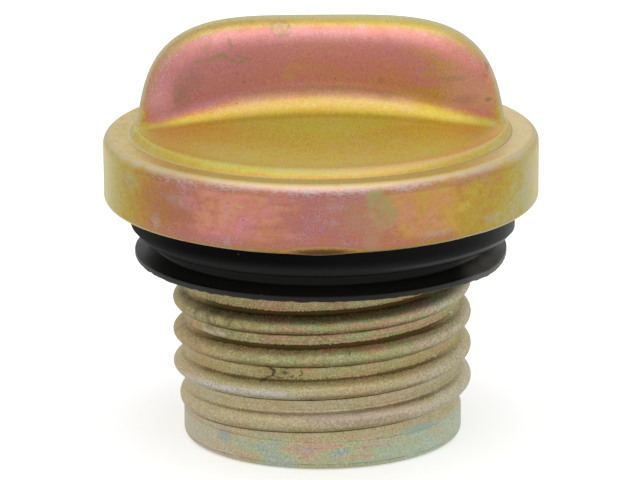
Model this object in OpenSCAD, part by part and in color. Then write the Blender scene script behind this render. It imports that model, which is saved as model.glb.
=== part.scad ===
// Threaded filler cap: a pressed cover with a hollow wing grip, a two-lipped rubber seal
// and a drawn sleeve with a rolled outside thread. Millimetres, +Z up.
// The origin is the centre of the sleeve's closed bottom. The grip runs along X.

/* [Cover] */
// Outside diameter of the cover
cover_d = 52.3; // [51:0.1:58]
// Height of the skirt, from its lower edge to the flat ring on top
skirt_h = 8.2; // [6.5:0.1:9.5]
// Thickness of the cover's sheet
cover_t = 1.0; // [0.85:0.05:1.2]
// Outside radius of the bend between the ring and the skirt
bend_r = 1.3; // [1.25:0.05:2]
// Rounding of the skirt's lower edge
hem_r = 0.8; // [0.2:0.05:0.8]
// Width of the flat ring, from the bend to the crease of the raised panel
ring_w = 1.95; // [1.2:0.05:2.8]

/* [Panel] */
// Rise of the rounded margin that runs round the panel inside the crease
margin_rise = 0.85; // [0.2:0.05:0.9]
// Width of that margin
margin_w = 2.2; // [1:0.1:3]
// Slope of the two floors, up from the margin to the grip, in degrees
floor_slope = 9.8; // [4:0.1:14]

/* [Grip] */
// Gap between the tip of the grip and the crease
grip_inset = 0.8; // [0.6:0.05:2]
// Height of the grip above the flat ring
grip_h = 14.1; // [12:0.1:18]
// Thickness of the grip at its ends and along its top
grip_t = 8.2; // [6.8:0.1:9]
// Depth of the pinch on each side of the grip, at the middle of its length
grip_pinch = 1.3; // [0:0.1:1.5]
// Radius of the fillet between floor and grip, at the middle of the grip
foot_fillet = 3.3; // [1.5:0.1:4]
// Radius of the same fillet at the tips of the grip
tip_fillet = 0.35; // [0.2:0.05:0.5]

/* [Crimps] */
// Number of crimps in the lower edge of the skirt
crimp_n = 3; // [2:1:6]
// Height of the arch of a crimp; its width follows from the height and the depth
crimp_h = 1.1; // [0.9:0.05:1.5]
// Depth that a crimp is pressed in at the lower edge
crimp_d = 0.95; // [0.5:0.05:1.2]

/* [Sleeve] */
// Height of the sleeve, from its closed bottom to the top of its flange
sleeve_h = 36.5; // [35.5:0.1:42]
// Thickness of the sleeve's wall, bottom and flange
sleeve_t = 1.2; // [1:0.05:1.5]
// Diameter of the plain lead below the thread
lead_d = 33.6; // [33.5:0.05:34.4]
// Height of the lead's upper edge, where the rolled band starts
lead_h = 3.6; // [3.3:0.05:3.7]
// Outside radius of the corner at the bottom
nose_r = 0.9; // [0.4:0.05:1.5]
// Radius of the bend below the flange
flange_bend = 1.0; // [0.6:0.1:1.3]
// Gap round the flange, inside the skirt
flange_gap = 0.45; // [0.2:0.05:0.8]

/* [Thread] */
// Diameter over the crests of the thread
thread_d = 36; // [35.9:0.1:37]
// Pitch of the right-hand thread
pitch = 4; // [3.6:0.1:4.4]
// Depth of the rolled thread
thread_depth = 1.4; // [1:0.05:1.5]
// Width of the rounded crest along the axis, at the thread's root
crest_w = 2.55; // [1.8:0.05:3]
// Height that the crest's middle would have on the +X side, below its first turn
thread_z0 = 3.0; // [2.9:0.05:3.5]
// Turns from there to the place where the thread starts to rise
runout_from = 0.2; // [0.15:0.05:0.4]
// Turns that the lower run-out takes to reach full depth
runout_turns = 0.65; // [0.3:0.05:0.8]

/* [Seal] */
// Height of the seal, from its lower face to the flange that it sits under
seal_h = 12.9; // [12.4:0.1:14]
// Wall of the seal between its bore and the root of the groove
seal_wall = 3.2; // [2.4:0.1:3.6]
// Reach of the lower lip outside the groove's root
lower_lip_w = 2.5; // [1.8:0.1:2.8]
// Gap between the upper lip and the crimps' inner face
lip_gap = 0.6; // [0.3:0.05:1.2]
// Height of the lower lip's outer edge
lip_edge = 0.8; // [0.5:0.05:1.1]
// Fall of the lower lip's top, from the groove's root to its edge
lip_fall = 0.6; // [0.2:0.05:0.9]
// Height of the groove between the lips, at its root
groove_h = 1.3; // [0.8:0.05:1.6]
// Clearance between the seal and the metal round it
seal_gap = 0.2; // [0.1:0.05:0.3]

/* [Hidden] */

// Levels shared by the pieces
ring_z = sleeve_h + cover_t;
skirt_z = ring_z - skirt_h;
flange_z = sleeve_h - sleeve_t;
seal_z = flange_z - seal_h;

// Radii shared by the pieces
cover_r = cover_d / 2;
cover_ri = cover_r - cover_t;
crease_r = cover_r - bend_r - ring_w;
crest_r = thread_d / 2;
root_r = crest_r - thread_depth;
lead_r = lead_d / 2;
flange_r = cover_ri - flange_gap;

// Grip form: the outline is (x / length) ^ 4 + (height / full height) ^ 3.35 = 1, and the
// rounding over the edge follows thickness * sqrt(1 - outline ^ 2)
end_power = 4;
top_power = 3.35;
edge_power = 2;
// Inward lean of the grip's ends, millimetres for each millimetre of height
end_lean = 0.16;
// Part of the grip's half length that the pinch reaches over
pinch_reach = 0.84;
// How early the meridians of the ends turn in towards the ridge
turn_in = 1;
grip_a = crease_r - grip_inset;
grip_z = ring_z + margin_rise;
grip_rise = ring_z + grip_h - grip_z;

// Meridians round the panel, and rings on each stretch of its two faces
meridians = 64;
margin_steps = 3;
floor_steps = 4;
fillet_steps = 4;
wall_steps = 11;
// How far the rim of the panel's mesh reaches into the solid ring, out and down
lap = 0.35;
sink = 0.3;

// Tilt of a crimp's face, the size of the block that cuts it, the height of the crimp's
// inner edge, where the seal's rim rests, and how near its inner face comes to the axis
crimp_tilt = atan(crimp_d / crimp_h);
crimp_span = 2 * cover_r;
rim_z = skirt_z + crimp_h + cover_t * tan(crimp_tilt / 2) + seal_gap;
crimp_ri = cover_r - crimp_d - cover_t / cos(crimp_tilt);

// Segments in a turn of the thread, the turns of its upper fade, and how far it is bedded
turn_steps = 60;
fade_turns = 0.25;
bed = 0.35;
turns_end = (seal_z - seal_gap - crest_w / 2 - thread_z0) / pitch;
// Places across the crest, from its lower foot (-1) to its upper foot (1), and its roundness
crest_steps = [-1, -0.82, -0.55, -0.2, 0.2, 0.55, 0.82, 1];
crest_power = 2.1;
crest_round = 0.87;

// Rounding of the sheet's cut edges and of the rubber's corners
edge_r = 0.25;
lip_r = 0.3;
arc_steps = 6;
$fn = 120;

// Points of an arc about (cx, cy), from angle a0 to angle a1
function arc(cx, cy, r, a0, a1, n = arc_steps) =
    [for (i = [0 : n]) let (a = a0 + (a1 - a0) * i / n) [cx + r * cos(a), cy + r * sin(a)]];

// Plain pressing that the cover starts from, as a turned solid of radius r up to height z
module pressing(r, z, top_r, foot_r) {
    rotate_extrude()
        polygon(concat(
            [[0, skirt_z - cover_t * (foot_r > 0 ? 0 : 1)]],
            foot_r > 0 ? arc(r - foot_r, skirt_z + foot_r, foot_r, -90, 0) : [[r, skirt_z - cover_t]],
            arc(r - top_r, z - top_r, top_r, 0, 90),
            [[0, z]]));
}

// Space outside the flats that a punch presses into the lower edge, set in by inset
module crimp_flats(inset) {
    for (i = [0 : crimp_n - 1])
        rotate(-90 + 360 * i / crimp_n)
            translate([cover_r, 0, skirt_z + crimp_h])
                rotate([0, crimp_tilt, 0])
                    translate([-inset, -crimp_span / 2, -crimp_span])
                        cube([crimp_span, crimp_span, crimp_span]);
}

// Ring and skirt with the crimps, one sheet thick, open where the panel goes
module skirt() {
    difference() {
        difference() {
            pressing(cover_r, ring_z, bend_r, hem_r);
            crimp_flats(0);
        }
        difference() {
            pressing(cover_ri, ring_z - cover_t, bend_r - cover_t, 0);
            crimp_flats(cover_t);
        }
        translate([0, 0, skirt_z])
            cylinder(r = crease_r - lap, h = skirt_h + cover_t);
    }
}

// Half thickness of the grip at (x, h), for a grip of half thickness t, half length a, rise hh
function half_t(x, h, t, a, hh) =
    t - grip_pinch * pow(max(0, 1 - pow(x / (a * pinch_reach), 2)), 2) * (1 - pow(h / hh, 2));

// Where the meridian whose foot has outline value q ends on the ridge
function ridge_w(q) = q > 0.9999 ? 1 / (1 + turn_in) : (1 - q) / (1 - pow(q, 1 + turn_in));

// Point [x, y, h] on the grip, on the meridian at angle m, at s from foot (0) to ridge (1)
function grip_point(m, s, t, a, hh) =
    let (
        q = pow(cos(m), 4),
        wr = ridge_w(q),
        w = pow(sin(90 * s), top_power),
        h = hh * pow(wr, 1 / top_power) * sin(90 * s),
        x = (a - end_lean * h) * pow(q * (1 - wr * w * pow(q, turn_in)), 1 / end_power),
        f = q + (1 - q) * w,
        y = half_t(x, h, t, a, hh) * sqrt(max(0, 1 - pow(f, edge_power))))
    [sign(cos(m)) * x, sign(sin(m)) * y, h];

// Length of the meridian's run over the floor, from the crease to the foot of the grip
function run(m, t, a) =
    let (p = grip_point(m, 0, t, a, grip_rise))
    norm([crease_r * cos(m) - p[0], crease_r * sin(m) - p[1]]);

// Height of the floor at distance e inside the crease, on a meridian with a run of length l
function floor_z(e, l, base) =
    let (mw = min(margin_w, 0.6 * l), d = max(0, e - mw))
    base + margin_rise * sin(90 * min(1, e / mw)) + tan(floor_slope) * d * d / (d + 1);

// Radius of the fillet on a meridian with a run of length l
function fillet_at(l) = tip_fillet + (foot_fillet - tip_fillet) * l / crease_r;

// One face of the panel on one meridian, from the crease to the ridge: the outer face has
// off = 0, and the inner face lies off inside it
function meridian(m, off) =
    let (
        t = grip_t / 2 - off,
        a = grip_a - off,
        hh = grip_rise - off,
        base = ring_z - off,
        l = run(m, t, a),
        rf = fillet_at(run(m, grip_t / 2, grip_a)) + off,
        c = [crease_r * cos(m), crease_r * sin(m)],
        h0 = floor_z(l, l, base) + rf - grip_z,
        s0 = asin(h0 / (hh * pow(ridge_w(pow(cos(m), 4)), 1 / top_power))) / 90,
        b3 = grip_point(m, s0, t, a, hh),
        b = [b3[0], b3[1]],
        mw = min(margin_w, 0.6 * l),
        flat = max(mw + 0.05, l - rf),
        es = concat(
            [for (i = [0 : margin_steps]) mw * i / margin_steps],
            [for (i = [1 : floor_steps]) mw + (flat - mw) * i / floor_steps],
            [for (i = [1 : fillet_steps - 1]) flat + (l - flat) * sin(90 * i / fillet_steps)]),
        up = concat(
            [for (i = [0 : margin_steps + floor_steps]) 0],
            [for (i = [1 : fillet_steps - 1]) rf * (1 - cos(90 * i / fillet_steps))]))
    concat(
        [[c[0] * (1 + lap / crease_r), c[1] * (1 + lap / crease_r), base + (off > 0 ? sink : -sink)]],
        [for (i = [0 : len(es) - 1])
            let (g = es[i] / l, p = c + (b - c) * g)
            [p[0], p[1], floor_z(es[i], l, base) + up[i]]],
        [for (i = [0 : wall_steps])
            let (p = grip_point(m, s0 + (1 - s0) * i / wall_steps, t, a, hh))
            [p[0], p[1], grip_z + p[2]]]);

// Raised panel and hollow grip, one closed mesh from its outer and inner faces
module panel() {
    face = [for (off = [0, cover_t]) [for (i = [0 : meridians - 1]) meridian(360 * i / meridians, off)]];
    rings = len(face[0][0]);
    per_face = meridians * rings;
    // The last ring is the ridge, where a meridian of the front meets its mirror image
    function at(f, i, k) =
        let (j = i % meridians)
        f * per_face + k * meridians + (k == rings - 1 ? min(j, (meridians - j) % meridians) : j);
    points = [for (f = [0, 1]) for (k = [0 : rings - 1]) for (i = [0 : meridians - 1]) face[f][i][k]];
    skin = [for (f = [0, 1]) for (k = [0 : rings - 2]) for (i = [0 : meridians - 1])
        let (p = at(f, i, k), q = at(f, i + 1, k), r = at(f, i + 1, k + 1), s = at(f, i, k + 1))
        for (tri = f == 0 ? [[p, r, q], [p, s, r]] : [[p, q, r], [p, r, s]])
            if (tri[0] != tri[1] && tri[1] != tri[2] && tri[2] != tri[0]) tri];
    rim = [for (i = [0 : meridians - 1])
        for (tri = [[at(0, i, 0), at(0, i + 1, 0), at(1, i + 1, 0)],
                    [at(0, i, 0), at(1, i + 1, 0), at(1, i, 0)]]) tri];
    polyhedron(points, concat(skin, rim));
}

// Pressed cover: ring, crimped skirt, panel and grip in one sheet
module cover() {
    color([0.74, 0.61, 0.33])
        union() {
            skirt();
            panel();
        }
}

// Outline of the drawn cup: closed bottom, tube and flange, all one wall thick
module cup_outline() {
    in_r = root_r - sleeve_t;
    polygon(concat(
        [[0, 0]],
        arc(lead_r - nose_r, nose_r, nose_r, -90, 0),
        [[lead_r, lead_h - abs(lead_r - root_r)], [root_r, lead_h]],
        arc(root_r + flange_bend, flange_z - flange_bend, flange_bend, 180, 90),
        arc(flange_r - edge_r, flange_z + edge_r, edge_r, -90, 0),
        arc(flange_r - edge_r, sleeve_h - edge_r, edge_r, 0, 90),
        arc(in_r + flange_bend + sleeve_t, flange_z - flange_bend, flange_bend + sleeve_t, 90, 180),
        arc(in_r - nose_r / 2, sleeve_t + nose_r / 2, nose_r / 2, 0, -90),
        [[0, sleeve_t]]));
}

// How far the thread stands out, as a part of its depth, at a number of turns
function rise_at(turns) =
    min(1, max(0, (turns - runout_from) / runout_turns), max(0, (turns_end - turns) / fade_turns));

// Rise of the crest at place s across it: (1 - s ^ 2.1) ^ 0.87 of the thread's depth
function crest_rise(s) = pow(max(0, 1 - pow(abs(s), crest_power)), crest_round);

// Section of the rolled thread at a number of turns: radius and height from the helix. Its
// two feet are carried on into the wall, and where the thread fades all of it sinks there
function thread_section(turns) =
    let (g = rise_at(turns))
    [for (s = crest_steps)
        abs(s) == 1
            ? [root_r - bed, s * (crest_w / 2 + bed / 2)]
            : [root_r + thread_depth * g * crest_rise(s) - bed / 4 * (1 - g), s * crest_w / 2]];

// Rib of the rolled thread, carried up its helix
module thread_rib() {
    sides = len(crest_steps);
    first = floor(runout_from * turn_steps);
    rows = ceil(turns_end * turn_steps) - first + 1;
    points = [for (i = [0 : rows - 1])
        let (turns = (first + i) / turn_steps, a = 360 * turns)
        for (p = thread_section(turns)) [p[0] * cos(a), p[0] * sin(a), thread_z0 + pitch * turns + p[1]]];
    skin = [for (i = [0 : rows - 2]) for (j = [0 : sides - 1])
        let (k = (j + 1) % sides, p = i * sides + j, q = i * sides + k)
        for (tri = [[p, q, q + sides], [p, q + sides, p + sides]]) tri];
    polyhedron(points, concat(skin,
        [[for (j = [0 : sides - 1]) sides - 1 - j]],
        [[for (j = [0 : sides - 1]) (rows - 1) * sides + j]]));
}

// Sleeve drawn as a cup, with the thread rolled into its wall
module threaded_sleeve() {
    color([0.60, 0.55, 0.42])
        union() {
            rotate_extrude()
                cup_outline();
            thread_rib();
        }
}

// Outline of the two-lipped seal, from its bore out to the rim under the cover. The mouth of
// the bore opens to clear the crests, which the rubber is stretched over
module seal_outline() {
    bore_r = root_r + seal_gap;
    mouth_r = crest_r + seal_gap;
    groove_r = bore_r + seal_wall;
    low_r = groove_r + lower_lip_w;
    up_r = crimp_ri - lip_gap;
    rim_r = cover_ri - seal_gap;
    low_top = seal_z + lip_edge;
    groove_z = low_top + lip_fall;
    lip_z = groove_z + groove_h;
    chamfer = flange_bend * 1.2;
    polygon(concat(
        [[bore_r, seal_z + mouth_r - bore_r], [mouth_r, seal_z]],
        arc(low_r - lip_r, seal_z + lip_r, lip_r, -90, 0),
        [[low_r, low_top], [groove_r, groove_z], [groove_r, lip_z]],
        [[up_r - 0.8, lip_z + 0.4], [up_r, lip_z + 1.4], [up_r, rim_z]],
        arc(rim_r - lip_r, rim_z + lip_r, lip_r, -90, 0),
        [[rim_r, flange_z], [bore_r + chamfer, flange_z], [bore_r, flange_z - chamfer]]));
}

// Moulded rubber seal
module seal() {
    color([0.08, 0.08, 0.085])
        rotate_extrude()
            seal_outline();
}

cover();
seal();
threaded_sleeve();
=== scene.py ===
"""Looks of the threaded filler cap: plated cover, rubber seal and plated, threaded sleeve.

The shapes below are worked out in millimetres in the frame of the CAD model and put into
the scene in metres. Z is up, the grip runs along X and the front is -Y.
"""
import functools
import math

import bpy
import numpy as np
from mathutils import Matrix, Vector


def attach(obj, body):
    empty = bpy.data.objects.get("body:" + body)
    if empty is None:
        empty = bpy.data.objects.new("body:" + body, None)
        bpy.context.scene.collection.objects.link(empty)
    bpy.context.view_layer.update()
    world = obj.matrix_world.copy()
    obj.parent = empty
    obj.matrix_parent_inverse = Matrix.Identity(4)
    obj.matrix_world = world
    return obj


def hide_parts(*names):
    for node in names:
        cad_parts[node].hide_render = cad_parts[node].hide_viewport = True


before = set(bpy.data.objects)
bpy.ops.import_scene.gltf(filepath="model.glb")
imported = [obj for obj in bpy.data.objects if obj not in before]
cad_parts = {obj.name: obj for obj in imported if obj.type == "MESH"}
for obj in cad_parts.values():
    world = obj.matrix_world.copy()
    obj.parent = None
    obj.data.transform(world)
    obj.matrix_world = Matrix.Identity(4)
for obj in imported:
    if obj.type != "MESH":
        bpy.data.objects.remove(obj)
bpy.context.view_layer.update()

MM = 0.001
TURN = 2 * math.pi
join = np.concatenate

# Levels and radii shared with the CAD model, in millimetres
RING_Z = 37.5
SKIRT_Z = 29.3
FLANGE_Z = 35.3
SLEEVE_TOP = 36.5
SEAL_Z = 22.4
COVER_R = 26.15
SHEET = 1.0
CREASE_R = 22.9
BEND_R = 1.3
HEM_R = 0.8
GROOVE_AT_CREASE = 0.07

# Panel and grip
MARGIN_W, MARGIN_RISE = 2.2, 0.85
FLOOR_SLOPE = math.tan(math.radians(9.8))
GRIP_A = 22.1
GRIP_HALF_T = 4.1
GRIP_Z = RING_Z + MARGIN_RISE
GRIP_RISE = 51.6 - GRIP_Z
GRIP_PINCH, PINCH_REACH = 1.3, 0.84
FOOT_FILLET, TIP_FILLET = 3.3, 0.35
END_POWER, TOP_POWER, EDGE_POWER = 4, 3.35, 2
END_LEAN = 0.16

# Crimps in the skirt's lower edge
CRIMP_AT = [-90, 30, 150]
CRIMP_H, CRIMP_D = 1.1, 0.95
CRIMP_DROOP = 0.2
CRIMP_SOFT = 0.09
CRIMP_HALF_DEG = 9.5

# What the skirt of this one cap does: waves, a flat spot and a sag of the hem, each with the
# angle where it lies and its spread, in degrees
SKIRT_WAVE = 0.0007
FLAT_SPOT, FLAT_AT, FLAT_SPREAD = 0.0055, 313, 4.5
HEM_SAG, SAG_AT, SAG_SPREAD = 0.17, 262, 26

# Thread and sleeve
CREST_R, ROOT_R, LEAD_R = 18.0, 16.6, 16.8
LEAD_H = 3.6
NOSE_R = 0.9
SLEEVE_T = 1.2
FLANGE_BEND = 1.0
FLANGE_R = 24.7
PITCH = 4.0
CREST_W = 2.55
CREST_POWER, CREST_EASE = 2.1, 0.87
THREAD_Z0 = 3.0
THREAD_END = (SEAL_Z - 0.2 - CREST_W / 2 - THREAD_Z0) / PITCH
RUNOUT_FROM, RUNOUT_TURNS, FADE_TURNS = 0.2, 0.65, 0.25

# Seal
BORE_R = 16.8
GROOVE_R = 20.0
LOW_LIP_R = 22.5
UP_LIP_R = 23.28
RIM_R, RIM_Z = 24.95, 30.97
LIP_EDGE, LIP_FALL, GROOVE_H = 0.8, 0.6, 1.3
UP_HANG, LOW_DROOP, LIP_RIPPLE = 0.75, 0.34, 0.07

COVER_MERIDIANS = 384
SEAL_MERIDIANS = 480
SLEEVE_MERIDIANS = 420


def steps(n, first=0):
    """The numbers first/n, (first + 1)/n ... 1, as a column."""
    return (np.arange(first, n + 1) / n)[:, None]


def smooth(x, lo, hi):
    """0 below lo, 1 above hi, and 3t^2 - 2t^3 of the way t between them."""
    t = np.clip((x - lo) / (hi - lo), 0, 1)
    return t * t * (3 - 2 * t)


def bell(angle, at, spread):
    """exp(-d^2), with d the turn in degrees from at to angle, in parts of spread."""
    turn = (np.degrees(angle) - at + 180) % 360 - 180
    return np.exp(-(turn / spread) ** 2)


def waves(angle, seed, first, last, fall=1.0):
    """Sum of sines of angle with whole wave numbers first..last, random phases, and a
    strength that falls as wave number to the power -fall; scaled to a peak near 1."""
    rng = np.random.default_rng(seed)
    total = np.zeros_like(angle)
    power = 0.0
    for k in range(first, last + 1):
        strength = k ** -fall * rng.uniform(0.5, 1)
        total = total + strength * np.sin(k * angle + rng.uniform(0, TURN))
        power += strength ** 2
    return total / (1.6 * math.sqrt(power))


def grip_point(m, s, off):
    """Point of the grip on the meridian at angle m, at s from foot (0) to ridge (1), set in
    by off. With q = cos(m)^4, the foot's outline value, and w = sin(90 s)^3.35: height is
    the rise times (1 + q)^(-1/3.35) sin(90 s), x is the leaning half length times
    (q (1 - q w / (1 + q)))^(1/4), and y is the pinched half thickness times
    sqrt(1 - (q + (1 - q) w)^2)."""
    a, t, rise = GRIP_A - off, GRIP_HALF_T - off, GRIP_RISE - off
    q = np.cos(m) ** 4
    climb = np.sin(s * math.pi / 2)
    w = climb ** TOP_POWER
    h = rise * (1 + q) ** (-1 / TOP_POWER) * climb
    x = (a - END_LEAN * h) * (q * (1 - w * q / (1 + q))) ** (1 / END_POWER)
    pinch = np.maximum(0, 1 - (x / (a * PINCH_REACH)) ** 2) ** 2 * (1 - (h / rise) ** 2)
    f = q + (1 - q) * w
    y = (t - GRIP_PINCH * pinch) * np.sqrt(np.maximum(0, 1 - f ** EDGE_POWER))
    return np.sign(np.cos(m)) * x, np.sign(np.sin(m)) * y, h


def floor_z(e, run, base):
    """Height of the panel at distance e inside the crease: a rounded margin that rises as a
    quarter sine, then a slope that eases in as d^2 / (d + 1)."""
    mw = np.minimum(MARGIN_W, 0.6 * run)
    d = np.maximum(0, e - mw)
    rise = MARGIN_RISE * np.sin(np.minimum(1, e / mw) * math.pi / 2)
    return base + rise + FLOOR_SLOPE * d * d / (d + 1)


def panel_rows(m, off, margin_n, floor_n, fillet_n, wall_n):
    """Rows of the panel's face from the crease to the grip's ridge. Each meridian runs
    straight in plan from the crease to the grip's foot over margin and floor, goes up a
    quarter round and then follows grip_point to the ridge. The second result is 1 in the
    hollow of that quarter round and fades out above and below it."""
    crease = CREASE_R * np.array([np.cos(m), np.sin(m)])

    def run_to_foot(inset):
        x, y, _ = grip_point(m, 0 * m, inset)
        return np.hypot(crease[0] - x, crease[1] - y)

    run = run_to_foot(off)
    fillet = TIP_FILLET + (FOOT_FILLET - TIP_FILLET) * run_to_foot(0) / CREASE_R + off
    base = RING_Z - off
    h0 = floor_z(run, run, base) + fillet - GRIP_Z
    full = (GRIP_RISE - off) * (1 + np.cos(m) ** 4) ** (-1 / TOP_POWER)
    s0 = np.arcsin(np.clip(h0 / full, 0, 1)) / (math.pi / 2)
    foot_x, foot_y, _ = grip_point(m, s0, off)
    mw = np.minimum(MARGIN_W, 0.6 * run)
    flat = np.maximum(mw + 0.05, run - fillet)
    bow = steps(fillet_n, 1)[:-1] * math.pi / 2
    e = join([mw * steps(margin_n), mw + (flat - mw) * steps(floor_n, 1),
              flat + (run - flat) * np.sin(bow)])
    up = join([np.zeros((margin_n + 1 + floor_n, len(m))), fillet * (1 - np.cos(bow))])
    x = crease[0] + (foot_x - crease[0]) * e / run
    y = crease[1] + (foot_y - crease[1]) * e / run
    plain = np.stack([x, y, floor_z(e, run, base) + up], axis=-1)
    wx, wy, wh = grip_point(m, s0 + (1 - s0) * steps(wall_n), off)
    wall = np.stack([wx, wy, GRIP_Z + wh], axis=-1)
    hollow = join([smooth(e, flat - 1.2, flat + 0.3),
                   1 - smooth((wh - h0) / fillet, -0.2, 0.5)])
    return join([plain, wall]), hollow


def arc(cx, cz, r, a0, a1, n):
    """Points (radius, height) of an arc about (cx, cz), from angle a0 to angle a1."""
    a = np.radians(np.linspace(a0, a1, n + 1))
    return np.stack([cx + r * np.cos(a), cz + r * np.sin(a)], axis=1)


def line(a, b, n):
    """n points (radius, height) of a straight line, after a and up to b."""
    a, b = np.array(a, float), np.array(b, float)
    return a + (b - a) * steps(n, 1)


def turned(profile, m):
    """Rows of a profile (radius, height) turned round Z: x = r cos m, y = r sin m."""
    r, z = profile[:, 0:1], profile[:, 1:2]
    return np.stack([r * np.cos(m), r * np.sin(m), z + 0 * m], axis=-1)


def press_crimps(rows, inset):
    """Presses the crimps into rows of the skirt. Along each crimp's direction a point may
    reach out no further than R - (z0 - z) d/h, less inset; what lies beyond is moved in by a
    soft maximum of the excess, and the edge droops by (1 - (angle / half width)^2)^2."""
    slope = CRIMP_D / CRIMP_H
    weight = np.zeros(rows.shape[:2])
    z = rows[..., 2].copy()
    for at in CRIMP_AT:
        ux, uy = math.cos(math.radians(at)), math.sin(math.radians(at))
        out = rows[..., 0] * ux + rows[..., 1] * uy
        side = np.abs(rows[..., 1] * ux - rows[..., 0] * uy)
        limit = COVER_R - inset - (SKIRT_Z + CRIMP_H - z) * slope
        excess = (out - limit) / CRIMP_SOFT
        push = CRIMP_SOFT * np.logaddexp(0, np.clip(excess, -60, 60)) * (out > 0)
        push = np.where(excess < -8, 0, push)
        rows[..., 0] -= push * ux
        rows[..., 1] -= push * uy
        angle = np.degrees(np.arctan2(side, np.maximum(out, 1e-6)))
        near = np.where(out > 0, np.maximum(0, 1 - (angle / CRIMP_HALF_DEG) ** 2) ** 2, 0)
        low = np.clip((SKIRT_Z + CRIMP_H - z) / CRIMP_H, 0, 1)
        rows[..., 2] -= CRIMP_DROOP * near * low
        weight = np.maximum(weight, np.clip(push / 0.7, 0, 1))
    return rows, weight


def cover_rows():
    """Closed shell of the pressed cover, from the ridge of the grip's outer face down over
    panel, ring and skirt, round the hem, and back up the inner face to its ridge. The skirt
    waves by a few hundredths and is flattened a little at the right of the front."""
    m = np.arange(COVER_MERIDIANS) * TURN / COVER_MERIDIANS
    outer, hollow = (part[::-1] for part in panel_rows(m, 0.0, 10, 16, 10, 48))
    outer = outer.copy()
    ring = np.stack([np.linspace(CREASE_R, COVER_R - BEND_R, 9), np.full(9, RING_Z)], axis=1)
    ring[:, 1] -= GROOVE_AT_CREASE * np.exp(-((ring[:, 0] - CREASE_R) / 0.3) ** 2)
    outer[-1, :, 2] -= GROOVE_AT_CREASE
    skirt = join([
        ring[1:-1],
        arc(COVER_R - BEND_R, RING_Z - BEND_R, BEND_R, 90, 0, 10),
        line((COVER_R, RING_Z - BEND_R), (COVER_R, SKIRT_Z + HEM_R + 1.2), 12),
        line((COVER_R, SKIRT_Z + HEM_R + 1.2), (COVER_R, SKIRT_Z + HEM_R), 8),
        arc(COVER_R - HEM_R, SKIRT_Z + HEM_R, HEM_R, 0, -90, 12)[1:],
    ])
    inner_r = COVER_R - SHEET
    inside = join([
        [[inner_r + 0.05, SKIRT_Z], [inner_r, SKIRT_Z + 0.06]],
        line((inner_r, SKIRT_Z + 0.06), (inner_r, SKIRT_Z + 2.2), 10),
        line((inner_r, SKIRT_Z + 2.2), (inner_r, RING_Z - SHEET - 0.3), 2),
        arc(inner_r - 0.3, RING_Z - SHEET - 0.3, 0.3, 0, 90, 3)[1:],
        line((inner_r - 0.3, RING_Z - SHEET), (CREASE_R, RING_Z - SHEET), 3)[:-1],
    ])
    skirt, inside = turned(skirt, m), turned(inside, m)
    low = smooth(RING_Z - BEND_R - skirt[..., 2], 0, 4)
    wave = 1 - low * (SKIRT_WAVE * waves(m, 3, 2, 7) + SKIRT_WAVE)
    flat = smooth(SKIRT_Z + 3 - skirt[..., 2], 0, 3) * bell(m, FLAT_AT, FLAT_SPREAD)
    skirt[..., :2] *= (wave - FLAT_SPOT * flat)[..., None]
    skirt, crimp_out = press_crimps(skirt, 0.0)
    slant = math.sqrt(1 + (CRIMP_D / CRIMP_H) ** 2)
    inside, crimp_in = press_crimps(inside, SHEET * slant)
    sag = HEM_SAG * bell(m, SAG_AT, SAG_SPREAD)
    for part in (skirt, inside):
        part[..., 2] -= sag * smooth(SKIRT_Z + 3.4 - part[..., 2], 0, 3.3)
    inner, _ = panel_rows(m, SHEET, 3, 4, 4, 14)
    rows = join([outer, skirt, inside, inner])
    crimp = join([np.zeros(outer.shape[:2]), crimp_out, crimp_in, np.zeros(inner.shape[:2])])
    plain = np.zeros((len(rows) - len(outer), len(m)))
    return rows, {"crimp": crimp, "hollow": join([hollow, plain])}


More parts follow.
